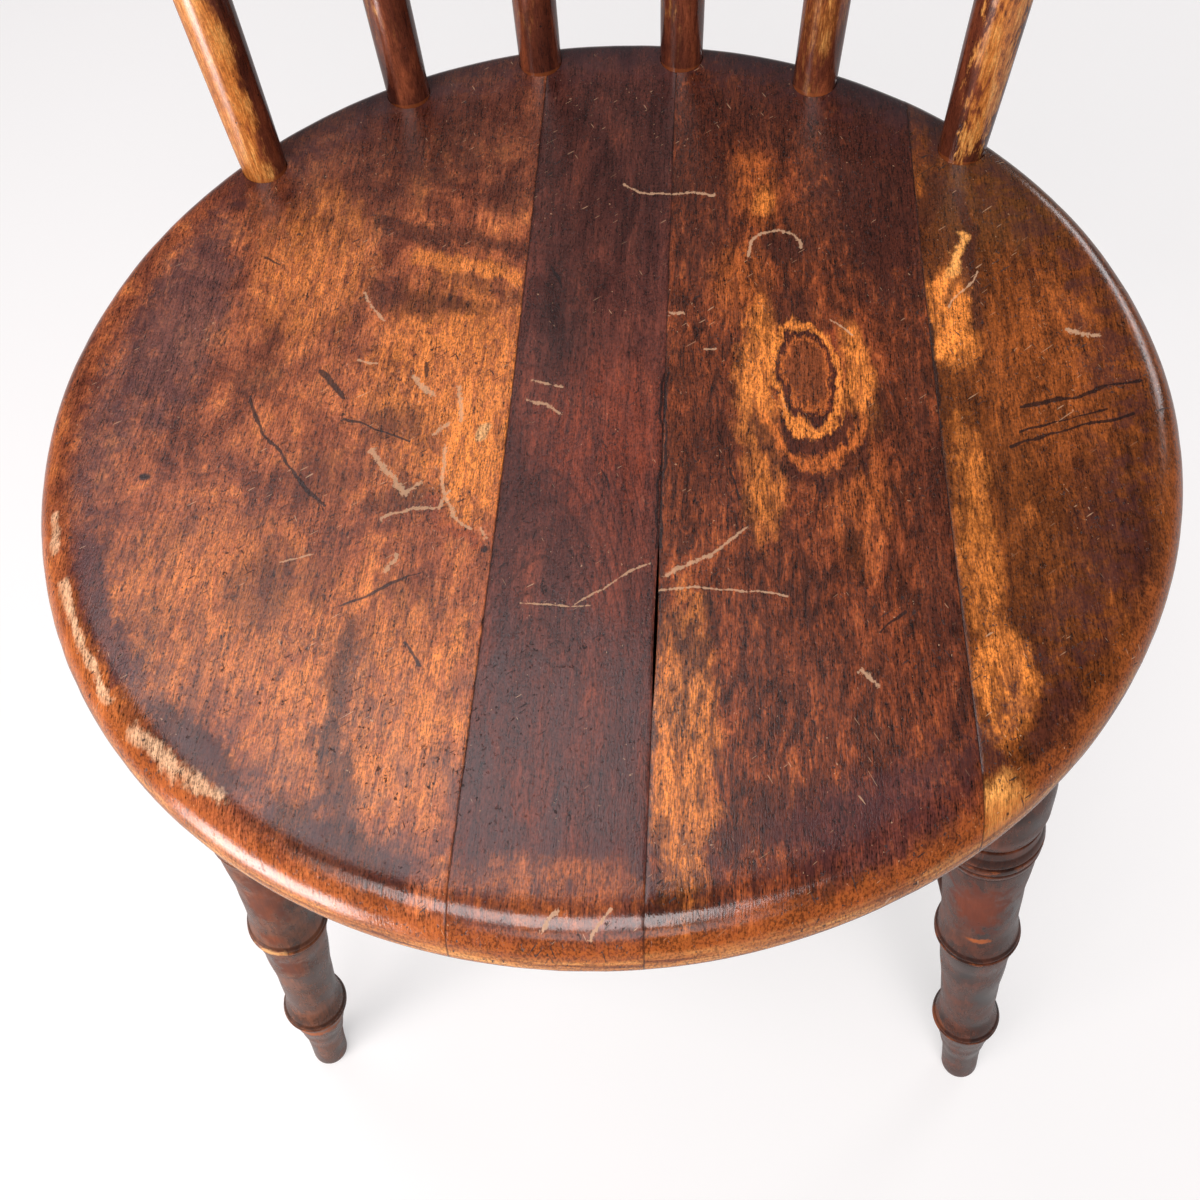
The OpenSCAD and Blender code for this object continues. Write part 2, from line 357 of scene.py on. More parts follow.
# half section of the seat from the middle of the dish, over the rim and back under
def seatSection():
    dishRadius = seatRadius - seat["rimWidth"]
    depth = seat["dishDepth"]
    ball = (dishRadius ** 2 + depth ** 2) / (2 * depth)
    nose = seat["noseRadius"]
    noseMiddle = seatRadius - nose
    rings = math.ceil(dishRadius / seat["ringStep"])
    points = []
    for k in range(rings + 1):
        r = dishRadius * k / rings
        points.append((r, ball - math.sqrt(ball ** 2 - r ** 2) - depth))
    for angle in range(0, 91, 6):
        a = math.radians(angle)
        points.append((noseMiddle + nose * math.sin(a), nose * (math.cos(a) - 1)))
    bottom = seatRadius - seat["undercut"]
    for share in (0.25, 0.5, 0.75, 0.93):
        points.append((seatRadius + (bottom - seatRadius) * share, -nose + (nose - seatThickness) * share))
    for share in (0.995, 0.98, 0.93, 0.85, 0.7, 0.5, 0.3, 0.1, 0.0):
        points.append((bottom * share, -seatThickness))
    soft = list(points)
    for k in range(rings - 2, rings + 3):          # the dish runs softly into the rim
        soft[k] = tuple((points[k - 1][j] + 2 * points[k][j] + points[k + 1][j]) / 4 for j in (0, 1))
    return soft


def wearSeat(bm, name):
    crack = seat["crack"]
    for v in bm.verts:
        x, y, z = (c / mm for c in v.co)
        r = math.hypot(x, y)
        if r < 0.01:
            continue
        rim = smooth((r - 168) / 14)
        worn = rim * seat["rimWaver"] * (0.5 + 0.5 * waver((x, y, z), 38, 1))
        worn += rim * 0.25 * max(0.0, waver((x, y, z), 9, 2))
        v.co.x -= worn * x / r * mm
        v.co.y -= worn * y / r * mm
        top = smooth((z + 12) / 8)
        v.co.z -= top * mm * (0.22 + 0.22 * waver((x, y, 0), 55, 3) + 0.05 * waver((x, y, 0), 14, 4))
        past = (y - crack["to"]) / (crack["from"] - crack["to"])
        if abs(x - joints[1]) < 3 and 0 < past < 1:
            side = -1 if name == "mid_left" else 1
            fade = 1 - abs(x - joints[1]) / 3
            v.co.x += side * fade * top * crack["open"] / 2 * math.sin(math.pi * past) ** 0.6 * mm


def makeBoard(name, left, right, material):
    bm = spinBody(seatSection(), seat["steps"])
    for edge in (left, right):
        if edge is None:
            continue
        for offset in (-6, -3, -1.5, -0.5, 0.5, 1.5, 3, 6):
            bmesh.ops.bisect_plane(bm, geom=bm.verts[:] + bm.edges[:] + bm.faces[:], dist=0.0001 * mm,
                    plane_co=((edge + offset) * mm, 0, 0), plane_no=(1, 0, 0))
    for edge, keepRight in ((left, True), (right, False)):
        if edge is None:
            continue
        bmesh.ops.bisect_plane(bm, geom=bm.verts[:] + bm.edges[:] + bm.faces[:], dist=0.0001 * mm,
                plane_co=(edge * mm, 0, 0), plane_no=(1, 0,
                0), clear_inner=keepRight, clear_outer=not keepRight)
        corner = [v for v in bm.verts if abs(v.co.x / mm - edge) < 0.01 and v.co.z / mm > -20]
        for v in corner:                           # worn corner along the joint
            v.co.z -= seat["jointBreak"] * (0.7 + 0.5 * waver(v.co / mm, 20, 5)) * mm
        closeHoles(bm)
    wearSeat(bm, name)
    lift = seat["boardLift"][name]
    for v in bm.verts:
        if v.co.z / mm > -20:
            v.co.z += lift * mm
    bmesh.ops.transform(bm, matrix=toChair, verts=bm.verts)
    node = "seat_board_" + name
    return finishPiece(bm, pieceName(node), node, material)


# what each board's wood and varnish look like. Places are mm from the seat's middle, across and
# along the grain. A patch is (tone, strength, across, along, half across, half along), then its
# turn and softness of edge where they differ. A streak is (tone, strength, points, width), and a
# scratch or a gouge is (points, width).
boardLooks = {
    "left": {
        "slot": "varnish_orange",
        "stain": [(0.34, (0.092, 0.021, 0.010)), (0.45, (0.2, 0.050, 0.020)),
                  (0.55, (0.35, 0.092, 0.030)), (0.68, (0.66, 0.2, 0.050))],
        "clouds": (15, 24), "flames": 0.2, "fibre": 0.55, "shift": 3.0,
        "patches": [
            ("burnt", 0.6, -98, 118, 34, 50, -35), ("burnt", 0.65, -62, 140, 38, 40),
            ("haze", 0.7, -150, 26, 15, 46, -4, 0.4), ("haze", 0.45, -165, -30, 8, 26, 8),
            ("gold", 0.45, -108, 58, 16, 30, 0, 0.6), ("gold", 0.6, -50, 8, 24, 40, 0, 0.6),
            ("gold", 0.35, -120, -92, 34, 30, 20, 0.6), ("gold", 0.45, -60, -120, 24, 34, 0, 0.6),
            ("burnt", 0.55, -40, 96, 10, 10, 0, 0.4), ("gold", 0.7, -40, -28, 10, 22),
            ("burnt", 0.7, -70, -108, 3.5, 16, 4, 0.4), ("burnt", 0.6, -68, -13, 9, 7, 30),
            ("burnt", 0.5, -92, -36, 12, 10, 0, 0.6), ("burnt", 0.5, -118, 4, 8, 6, 30),
            ("burnt", 0.6, -62, -44, 12, 5, 20), ("burnt", 0.5, -100, -80, 9, 12, 0, 0.6),
            ("black", 0.95, -147.5, -39, 2.0, 1.6, 0, 0.3), ("black", 0.95, -32.5, -62, 1.0, 1.5, 0, 0.3),
            ("bare", 0.9, -38, -16, 2.2, 3.4, -30, 0.3),
        ],
        "streaks": [
            ("burnt", 0.68, [(-84, 82), (-67, 74), (-52, 75), (-33, 69)], 9),
            ("burnt", 0.68, [(-80, 46), (-68, 41), (-56, 42)], 12),
            ("burnt", 0.4, [(-56, 42), (-40, 40)], 7),
            ("burnt", 0.55, [(-61, 56), (-46, 51), (-31, 44)], 7),
            ("gold", 0.45, [(-70, 65), (-52, 60), (-33, 56)], 7),
            ("red", 0.6, [(-50, -44), (-46, -54), (-36, -60)], 6),
            ("burnt", 0.8, [(-77, -155), (-62, -163), (-46, -171)], 12),
            ("burnt", 0.75, [(-70, -128), (-64, -146), (-62, -158)], 9),
            ("plum", 0.85, [(-158, -70), (-147, -94), (-134, -112)], 10),
            ("burnt", 0.85, [(-119, -126), (-102, -140), (-95, -145)], 11),
            ("scratch", 0.7, [(-173, -56), (-168, -70)], 2.6),
            ("scratch", 0.75, [(-163, -82), (-150, -104), (-137, -120)], 3.2),
            ("scratch", 0.75, [(-126, -130), (-110, -142), (-97, -150)], 4.2),
        ],
        "scratches": [
            ([(-88, 46), (-83, 40), (-78, 33)], 1.2), ([(-64, 7), (-57, 0)], 2.0),
            ([(-48, 4), (-47, -3), (-46, -11)], 2.0), ([(-74, -25), (-67, -35), (-60, -42)], 2.3),
            ([(-60, -42), (-56, -37)], 2.0), ([(-50, -22), (-48, -38), (-43, -50), (-38, -55)], 1.4),
            ([(-66, -53), (-58, -48), (-48, -47), (-45, -41)], 1.5), ([(-54, -17), (-50, -13)], 1.8),
            ([(-84, 14), (-78, 13)], 1.2), ([(-60, -66), (-62, -72)], 1.6),
            ([(-35, -54), (-33, -58)], 1.6), ([(-95, -70), (-86, -66)], 0.8),
        ],
        "gouges": [
            ([(-96, 9), (-88, -3)], 1.7), ([(-120, -3), (-112, -18), (-102, -30), (-86, -49)], 1.1),
            ([(-86, -12), (-62, -20)], 0.8), ([(-75, -86), (-52, -72)], 0.8), ([(-60, 14), (-60, 8)], 1.3),
            ([(-52, -98), (-48, -105)], 1.2), ([(-128, 62), (-121, 58)], 1.0),
        ],
    },
    "mid_left": {
        "slot": "varnish_dark",
        "stain": [(0.34, (0.048, 0.012, 0.009)), (0.48, (0.086, 0.023, 0.016)),
                  (0.6, (0.145, 0.036, 0.021)), (0.72, (0.3, 0.068, 0.028))],
        "clouds": (12, 44), "flames": 0.08, "fibre": 0.42, "shift": 21.0,
        "patches": [
            ("black", 0.4, -4, 120, 30, 50, 0, 0.6), ("red", 0.6, 2, -16, 20, 26, 0, 0.6),
            ("amber", 0.65, -4, -172, 24, 8), ("black", 0.4, -14, 34, 8, 30, 3),
            ("red", 0.35, 10, -60, 8, 30, 0, 0.6),
        ],
        "streaks": [],
        "scratches": [
            ([(-23, 7), (-17, 6), (-12, 4)], 1.3), ([(-25, -2), (-17, -4), (-12, -8)], 1.3),
            ([(4, 102), (10, 98), (23, 97)], 1.3), ([(-2, -82), (11, -72), (20, -67)], 0.8),
            ([(-20, -82), (2, -83)], 0.7), ([(-4, -183), (0, -178)], 1.2), ([(8, -184), (13, -177)], 1.3),
        ],
        "gouges": [
            ([(-20, 60), (-17, 50)], 0.8), ([(2, -30), (5, -38)], 0.8), ([(21.6, 10), (21.6, -60)], 0.8),
        ],
        "cathedral": {"middle": -14, "from": -26, "to": -112},
    },
    "mid_right": {
        "slot": "varnish_brown",
        "stain": [(0.34, (0.022, 0.006, 0.003)), (0.46, (0.088, 0.020, 0.007)),
                  (0.56, (0.2, 0.043, 0.012)), (0.7, (0.5, 0.125, 0.030))],
        "clouds": (12, 26), "flames": 0.6, "fibre": 0.65, "shift": 37.0,
        "patches": [
            ("burnt", 0.92, 98, 96, 22, 52, 6, 0.35), ("burnt", 0.75, 66, 152, 46, 30),
            ("burnt", 0.6, 34, 100, 11, 50), ("amber", 0.55, 53, 100, 8, 16, 8),
            ("gold", 0.6, 56, 92, 4, 6), ("burnt", 0.8, 64, 69, 9, 6, 10, 0.4),
            ("amber", 0.6, 48, 52, 9, 16, 0, 0.6), ("burnt", 0.7, 67, 39, 7, 10),
            ("gold", 0.8, 53, 12, 6, 26, -6), ("gold", 0.75, 87, 8, 5, 20, 6),
            ("gold", 0.6, 55, -30, 6, 22, 0, 0.6), ("amber", 0.5, 84, -40, 8, 22, 0, 0.6),
            ("gold", 0.65, 31, -128, 8, 40), ("burnt", 0.7, 32, -98, 4, 8, 0, 0.4),
            ("burnt", 0.45, 42, -18, 10, 20, 0, 0.6), ("burnt", 0.55, 64, -148, 14, 10),
            ("burnt", 0.6, 106, -50, 5, 60), ("plum", 0.6, 82, -150, 22, 12, 24),
        ],
        "streaks": [("red", 0.6, [(78, 26), (81, 8), (77, -4)], 6)],
        "eye": {"middle": (70, 9), "half": (10.5, 23), "lean": 0.08, "rings": [
            (0.0, "rust"), (0.19, "rust"), (0.225, "amber"), (0.255, "burnt"), (0.29, "burnt"),
            (0.335, "gold"), (0.375, "gold"), (0.41, "burnt"), (0.5, "burnt"), (0.54, "amber"), (0.58, "amber"),
            (0.62, "burnt"), (0.7, "burnt"), (0.78, "rust")]},
        "scratches": [
            ([(23, 97), (38, 97)], 1.4),
            ([(51, 65), (53, 72), (57, 76), (62, 78), (67, 76), (70, 69)], 1.4),
            ([(25, -72), (38, -64)], 1.9), ([(38, -64), (49, -54)], 1.1),
            ([(23, -77), (43, -76), (61, -78)], 0.9), ([(81, -105), (85, -109)], 2.2),
            ([(79, 34), (86, 27)], 1.0), ([(36, 22), (40, 22)], 0.9), ([(24, 38), (27, 38)], 1.8),
        ],
        "gouges": [
            ([(88, -92), (96, -84)], 0.8), ([(44, -30), (47, -42)], 0.9), ([(22.8, 10), (22.8, -60)], 0.8),
        ],
    },
    "right": {
        "slot": "varnish_amber",
        "stain": [(0.34, (0.044, 0.010, 0.002)), (0.47, (0.100, 0.025, 0.004)),
                  (0.58, (0.19, 0.048, 0.007)), (0.72, (0.48, 0.132, 0.021))],
        "clouds": (12, 30), "flames": 0.45, "fibre": 0.5, "shift": 53.0,
        "patches": [
            ("olive", 0.7, 145, 92, 26, 26, -30), ("gold", 0.8, 120, 34, 7, 18),
            ("burnt", 0.6, 116, 88, 4, 16, -20, 0.4), ("amber", 0.4, 150, 10, 18, 40, 0, 0.6),
            ("gold", 0.9, 121, -110, 7, 16, -6, 0.4), ("honey", 0.9, 120, -146, 9, 9, 0, 0.4),
            ("burnt", 0.75, 134, -122, 6, 14, -20, 0.4), ("burnt", 0.5, 160, -60, 10, 30, 14),
            ("gold", 0.5, 119, -60, 5, 40),
        ],
        "streaks": [
            ("burnt", 0.8, [(126, 93), (130, 74), (126, 56), (128, 30)], 5),
            ("honey", 0.9, [(127, 72), (123, 60), (119, 48)], 3.5),
            ("gold", 0.9, [(119, 48), (122, 34), (117, 20)], 8), ("burnt", 0.6, [(122, 50), (120, 40)], 3),
        ],
        "scratches": [([(158, 25), (162, 23), (167, 22)], 1.9), ([(120, 38), (130, 54)], 0.8)],
        "gouges": [
            ([(138, -7), (175, 3)], 1.3), ([(133, -23), (155, -15), (172, -11)], 1.2),
            ([(137, -17), (164, -8)], 0.8), ([(112.2, 30), (112.2, -14)], 1.6),
        ],
    },
}


def boardFinish(name, left, right):
    look = boardLooks[name]
    n = Nodes(pieceName("varnish_" + name))
    at = n.place(toBoards, seatMiddle)
    across, along, level = n.parts(at)
    radius = n.fromAxis(at)
    shift = look["shift"]

    # a wandering flat copy of the coordinates, so that no placed mark has a straight edge
    wander = n.add("ShaderNodeTexNoise", named={"Vector": at, "Scale": 0.06, "Detail": 2.0})
    centred = n.vector("SUBTRACT", wander.outputs["Color"], (0.5, 0.5, 0.5))
    flat = n.vector("MULTIPLY", n.vector("MULTIPLY_ADD", centred, (6, 6, 0), at), (1, 1, 0))

    # stain and figure
    wideA, wideB = look["clouds"]
    clouds = n.noise(at, (wideA, wideB, 30), 4.0, 0.72, 0.4, shift)
    flames = n.noise(at, (4.0, 17.0, 30), 3.0, 0.68, 1.2, shift + 5)
    figure = n.timesPlus(n.minus(flames, clouds), look["flames"], clouds)
    colour = n.ramp(figure, look["stain"])
    ragged = n.minus(n.noise(at, (6, 10, 30), 4.0, 0.78, 0.0, shift + 9), 0.5)
    raggedWide = n.times(ragged, 4.2)
    through = n.remap(flames, 0.36, 0.60, 0.25, 1.0)
    for tone, *shape in look["patches"]:
        mask = patchMark(n, flat, raggedWide, *shape)
        if tone in ("gold", "amber", "red"):           # varnish lets the figure show through there
            mask = n.times(mask, through)
        colour = n.mix(mask, colour, tones[tone])
    raggedLine = n.times(ragged, 2.0)
    for tone, strength, points, width in look["streaks"]:
        colour = n.mix(lineMarks(n, flat, points, width, raggedLine, 0.25, strength), colour, tones[tone])

    if "eye" in look:                              # a knot: rings of dark and golden wood round an oval
        eye = look["eye"]
        middle, half = Vector(eye["middle"]), eye["half"]
        a = n.plus(n.vector("DOT_PRODUCT", flat, (1 / half[0], eye["lean"] / half[0], 0)),
                -(middle.x + eye["lean"] * middle.y) / half[0])
        b = n.plus(n.vector("DOT_PRODUCT", flat, (0, 1 / half[1], 0)), -middle.y / half[1])
        away = n.sum("SQRT", n.timesPlus(a, a, n.times(b, b)))
        away = n.timesPlus(ragged, 0.7, n.timesPlus(n.minus(flames, 0.5), 0.6, away))
        rings = n.ramp(n.times(away, 1 / 3), [(place, tones[tone]) for place, tone in eye["rings"]])
        below = n.times(n.remap(away, 2.4, 2.0), n.remap(along, -2, -14))
        seen = n.sum("MAXIMUM", n.remap(away, 1.25, 1.0), below)
        colour = n.mix(n.times(seen, 0.8), colour, rings)

    if "cathedral" in look:                        # arched year rings
        arch = look["cathedral"]
        bow = n.sum("POWER", n.sum("ABSOLUTE", n.minus(across, arch["middle"])), 1.8)
        rise = n.plus(n.times(along, 0.55), n.times(bow, 0.09))
        rings = n.sum("SINE", n.timesPlus(ragged, 2.5, rise))
        inside = n.times(n.remap(along, arch["from"] + 10, arch["from"] - 10),
                n.remap(along, arch["to"] - 12, arch["to"] + 12))
        lines = n.times(n.remap(rings, 0.65, 0.98), inside)
        colour = n.lay(lines, 0.6, colour, "burnt")

    # fine fibres along the grain and the speckle between them
    fibre = n.noise(at, (0.36, 3.4, 3.2), 2.0, 0.7, 0.0, shift)
    strand = n.noise(at, (1.3, 30, 20), 1.0, 0.65, 0.0, shift + 2)
    speckle = n.noise(at, (0.66, 1.0, 1.0), 1.0, 0.7, 0.0, shift + 4)
    shade = n.plus(n.remap(fibre, 0.30, 0.62, -look["fibre"], 0.8 * look["fibre"]),
            n.plus(n.remap(strand, 0.3, 0.7, -0.24, 0.24), n.remap(speckle, 0.3, 0.66, -0.38, 0.30)))
    colour = n.shade(colour, n.plus(1.0, shade))

    # rim and edge: dark dirt just inside the rim, golden where hands and legs rub, and a painted dark
    # reflection along the back of the rim
    rimNoise = n.noise(at, (7, 7, 5), 3.0, 0.7, 0.0, shift + 12)
    grime = n.times(n.remap(radius, 150, 168), n.remap(rimNoise, 0.42, 0.60, 0.0, 0.5))
    grime = n.times(grime, n.remap(radius, 182, 174))
    colour = n.mix(grime, colour, tones["plum"])
    rubbed = n.times(n.remap(n.timesPlus(rimNoise, 16, radius), 187, 196),
            n.remap(speckle, 0.36, 0.60, 0.25, 0.75))
    rubbed = n.times(rubbed, n.remap(along, 60, -40, 0.1, 1.0))
    colour = n.mix(rubbed, colour, tones["amber"])
    # painted reflection: the back of the rim is laid over with a dark bluish grey that stands in for a dark
    # sheen
    back = n.times(n.remap(along, 80, 140), n.remap(n.timesPlus(ragged, 20, radius), 160, 182))
    colour = n.lay(back, 0.75, colour, "smoke")
    edge = n.times(n.remap(n.timesPlus(rimNoise, 5, level), -3.0, -8.0), n.remap(radius, 168, 178))
    edgeWood = n.ramp(n.noise(at, (26, 26, 2.0), 3.0, 0.7, 0.0, shift),
            [(0.34, (0.16, 0.040, 0.010)), (0.50, (0.46, 0.155, 0.034)), (0.66, (0.72, 0.32, 0.085))])
    edgeShade = n.remap(speckle, 0.3, 0.6, 0.55, 1.15)
    edgeWood = n.shade(edgeWood, edgeShade)
    colour = n.mix(edge, colour, edgeWood)
    lowEdge = n.times(n.remap(level, -21, -26), n.remap(radius, 172, 180))
    colour = n.lay(lowEdge, 0.4, colour, "honey")

    # wear with no fixed place: flecks, dents and short dashes, thicker in some parts than in others
    cluster = n.remap(n.noise(at, 26, 0.0, 0.5, 0, shift + 21), 0.38, 0.60, 0.2, 1.0)
    fleck = n.noise(at, (1.3, 1.8, 3), 2.0, 0.7, 0.0, shift + 22)
    dashes = []
    for k, angle in enumerate((52, -28)):
        turned = n.add("ShaderNodeVectorRotate", named={"Vector": at, "Angle": math.radians(angle)},
                rotation_type="Z_AXIS").outputs[0]
        dashes.append(n.noise(turned, (0.6, 6.0, 9), 0.0, 0.5, 0.0, shift + 7 * k))
    dents = n.remap(fleck, 0.348, 0.312)
    pits = n.most([dents, n.remap(dashes[0], 0.205, 0.175), n.remap(dashes[1], 0.20, 0.17),
            n.dots(at, 7.0, 0.7, 0.35, shift)])
    pits = n.times(pits, cluster)
    chips = n.most([n.remap(fleck, 0.71, 0.74), n.remap(dashes[0], 0.835, 0.86),
            n.remap(dashes[1], 0.85, 0.87)])
    chips = n.times(chips, cluster)
    colour = n.lay(pits, 0.85, colour, "black")
    colour = n.lay(chips, 0.55, colour, "scratch")

    # placed scratches and gouges
    broken = n.timesPlus(n.minus(fleck, 0.5), 2.6, n.timesPlus(n.minus(fibre, 0.5), 0.8,
            n.times(ragged, 1.0)))
    scratches, gouges = 0.0, 0.0
    for points, width in look["scratches"]:
        scratches = n.sum("MAXIMUM", lineMarks(n, flat, points, 0.72 * width, broken), scratches)
    colour = n.lay(scratches, 0.62, colour, "scratch")
    for points, width in look["gouges"]:
        gouges = n.sum("MAXIMUM", lineMarks(n, flat, points, width, raggedLine), gouges)
    colour = n.lay(gouges, 0.85, colour, "black")

    # dirt packed in the joints
    for place in (left, right):
        if place is not None:
            gap = n.sum("ABSOLUTE", n.minus(across, place))
            seam = n.remap(n.timesPlus(ragged, 0.6, gap), 0.42, 0.15, 0.0, 0.6)
            colour = n.mix(seam, colour, tones["black"])

    # plain oiled wood underneath, without the marks of the top
    under = n.remap(level, -seatThickness + 1.2, -seatThickness + 0.4)
    oiled = n.ramp(fibre, [(0.32, (0.060, 0.028, 0.013)), (0.68, (0.150, 0.074, 0.034))])
    colour = n.mix(under, colour, oiled)

    gloss = n.minus(n.remap(clouds, 0.3, 0.7, 0.20, 0.30), n.remap(radius, 168, 178, 0.0, 0.07))
    loss = n.most([n.times(scratches, 0.3), n.times(pits, 0.3), n.times(under, 0.4)])
    height = n.plus(n.times(fibre, 0.45), n.times(speckle, 0.45))
    height = n.minus(height, n.times(dents, 0.7))
    return n.finish(colour, n.plus(gloss, loss), height, 0.08, 0.5)


edges = [None, *joints, None]
boards = {}
for k, name in enumerate(seat["names"]):
    boards[name] = makeBoard(name, edges[k], edges[k + 1], boardFinish(name, edges[k], edges[k + 1]))
print("seat boards made")


# gives a spun body the small unevenness of hand turning and wear, then stands it in its place
def settle(bm, low, high, seed, waverSize=0.006):
    for v in bm.verts:
        x, y, z = (c / mm for c in v.co)
        uneven = 1 + waverSize * (waver((x, y, z / 2), 9, seed) + 0.8 * math.cos(2 * math.atan2(y,
                x) + seed))
        v.co.x *= uneven
        v.co.y *= uneven
    bmesh.ops.transform(bm, matrix=standAlong(low, high), verts=bm.verts)
    return bm


# coordinates in mm that run up the piece from its lower end
def pieceCoordinates(n, low, high):
    turn = standAlong(low, high).to_3x3().inverted()
    return n.place(turn, low)


stick = {
    "seatDiameter": 17,
    "railDiameter": 14,
    "swell": {"outer": 4.2, "inner": 1.8},
    "seatDepth": 18.95,
    "railDepth": 23.95,
    "steps": 40,
    "socketGap": 0.2,
    "seatCut": 34,         # length of the cutters that open the sockets
    "railCut": 60,
    "collar": 18.2,        # height of the pale line painted where a stick meets the seat, a painted highlight along that edge
}

# share of each stick worn golden, the side that is worn and how far round it goes, then the
# height of the blotches and how softly they end
stickLooks = {
    1: {"slot": "stick_worn", "wear": 0.46, "side": (-0.65, -0.76), "spread": 0.5, "tall": 12, "soft": 0.26},
    2: {"slot": "stick_dark", "wear": 0.24, "side": (-0.6, -0.8), "spread": 0.18, "tall": 14, "soft": 0.34},
    3: {"slot": "stick_dark", "wear": 0.26, "side": (-0.6, -0.8), "spread": 0.18, "tall": 14, "soft": 0.40},
    4: {"slot": "stick_dark", "wear": 0.26, "side": (-0.5, -0.87), "spread": 0.18, "tall": 14, "soft": 0.40},
    5: {"slot": "stick_dark", "wear": 0.34, "side": (-0.3, -0.95), "spread": 0.32, "tall": 16, "soft": 0.50},
    6: {"slot": "stick_streaked", "wear": 0.17, "side": (0.1, -1.0), "spread": 0.42, "tall": 12, "soft": 0.12},
}


def stickFinish(number, look, low, high):
    n = Nodes("stickVarnish%d" % number)
    at = pieceCoordinates(n, low, high)
    height = n.parts(at)[2]
    shift = 4.0 * number
    grain = n.noise(at, (0.8, 0.8, 9), 4.0, 0.7, 0.0, shift)
    fine = n.noise(at, (0.40, 0.40, 2.4), 2.0, 0.7, 0.0, shift + 1)
    flecks = n.noise(at, (1.5, 1.5, 0.6), 2.0, 0.7, 0.0, shift + 6)
    stain = n.noise(at, (8, 8, 34), 5.0, 0.65, 0.4, shift + 2)
    colour = n.ramp(stain, [(0.34, (0.050, 0.011, 0.006)), (0.50, (0.125, 0.030, 0.014)),
            (0.66, (0.27, 0.068, 0.026))])
    towards = Vector((*look["side"], 0)).normalized()
    local = standAlong(low, high).to_3x3().inverted() @ towards
    facing = n.facing(at, local)
    blotch = n.noise(at, (4.5, 4.5, look["tall"]), 5.0, 0.7, 0.3, shift + 3)
    worn = n.timesPlus(facing, look["spread"], n.timesPlus(grain, 0.3, blotch))
    worn = n.minus(worn, n.remap(height, 48, 16, 0.0, 0.16))      # less rubbed near the seat
    bare = n.remap(worn, 1.05 - look["wear"], 1.05 + look["soft"] - look["wear"])
    gold = n.ramp(n.timesPlus(grain, 0.45, n.times(blotch, 0.55)),
            [(0.36, (0.27, 0.070, 0.014)), (0.50, (0.58, 0.195, 0.036)), (0.64, (0.86, 0.43, 0.12))])
    colour = n.mix(n.times(bare, 0.92), colour, gold)
    dark = n.times(n.remap(fine, 0.30, 0.64, 0.70, 1.24), n.remap(flecks, 0.28, 0.5, 0.80, 1.05))
    colour = n.shade(colour, dark)
    # painted highlight: a thin pale line round the foot of each stick, along the edge where it meets the seat
    ring = n.remap(n.timesPlus(blotch, 1.2, height), stick["collar"] + 0.5, stick["collar"])
    colour = n.lay(ring, 0.3, colour, "amber")
    pits = n.sum("MAXIMUM", n.dots(at, 6.0, 0.6, 0.3, shift), n.remap(flecks, 0.27, 0.24))
    colour = n.lay(pits, 0.8, colour, "black")
    gloss = n.timesPlus(bare, 0.06, n.remap(stain, 0.3, 0.7, 0.12, 0.21))
    rise = n.minus(n.times(fine, 0.6), pits)
    return n.finish(colour, gloss, rise, 0.035, 0.9)


def makeStick(number):
    node = "back_stick_%d" % number
    low, high = centreLine(node)
    length = (high - low).length / mm
    rise = length - stick["seatDepth"] - stick["railDepth"]
    swell = stick["swell"]["outer" if number in (1, 6) else "inner"]
    half = stick["seatDiameter"] / 2
    section = [(0, 0), (half - 0.6, 0), (half, 0.8)]
    for height in range(4, int(length) - 2, 3):
        t = max(0.0, min(1.0, (height - stick["seatDepth"]) / rise))
        radius = half + (stick["railDiameter"] / 2 - half) * t + swell / 2 * math.sin(math.pi * t ** 0.8)
        section.append((radius, height))
    top = stick["railDiameter"] / 2
    section += [(top, length - 0.8), (top - 0.6, length), (0, length)]
    bm = settle(spinBody(section, stick["steps"]), low, high, number)
    look = stickLooks[number]
    finishPiece(bm, "backStick%d" % number, node, stickFinish(number, look, low, high))
    return low, high


stickLines = [makeStick(number) for number in range(1, 7)]
print("back sticks made")


leg = {
    "foot": 9.7,           # radii in mm, heights along the leg in mm
    "shank": 13,
    "upper": 16.8,
    "tenon": 12,
    "rings": [             # height, radius, half height of the bead, half height of the swelling
        (103, 16.4, 5.0, 20),
        (232, 17.6, 5.5, 24),
        (335, 18.4, 10, 24),
    ],
    "grooves": [(100.6, 0.5), (104.4, 0.5), (229.4, 0.6), (233.6, 0.6), (327, 0.6), (332.5, 0.6), (338, 0.7),
                (351, 0.8)],
    "grooveWidth": 1.3,
    "steps": 56,
    "socketDepth": 15.95,
    "seatCut": 40,
}


# smooth outline through the turning's heights and radii
def legRadius(height, length):
    foot, shank, upper = leg["foot"], leg["shank"], leg["upper"]
    outline = [(0, foot), (25, foot), (44, foot + 0.3), (66, foot + 2), (86, shank + 0.6), (96, shank + 1),
            (118, shank - 0.2), (162, shank + 0.2), (198, shank + 1.5), (222, shank + 2.2), (256,
            shank + 2.2), (284, upper - 1.4), (318, upper), (350, upper + 0.3), (361, upper + 1.7), (376,
            upper + 2), (396, upper + 0.6), (length - 8, leg["tenon"]), (length + 40, leg["tenon"])]
    for (h0, r0), (h1, r1) in zip(outline, outline[1:]):
        if height <= h1:
            radius = r0 + (r1 - r0) * smooth((height - h0) / (h1 - h0))
            break
    for middle, ringRadius, bead, spread in leg["rings"]:
        body = smooth(1 - abs(height - middle) / spread) ** 0.9
        radius += max(0.0, ringRadius - 1.2 - radius) * body
        away = abs(height - middle) / bead
        if away < 1:
            radius = max(radius, ringRadius - 2.2 + 2.2 * math.sqrt(1 - away ** 2))
    for h, depth in leg["grooves"]:
        radius -= depth * math.exp(-((height - h) / (leg["grooveWidth"] / 2)) ** 2)
    return radius


legNames = {"front_left": ("front_left_foot", 1), "front_right": ("front_right_foot", 2),
            "back_left": ("back_left_foot", 3), "back_right": ("back_right_foot", 4)}

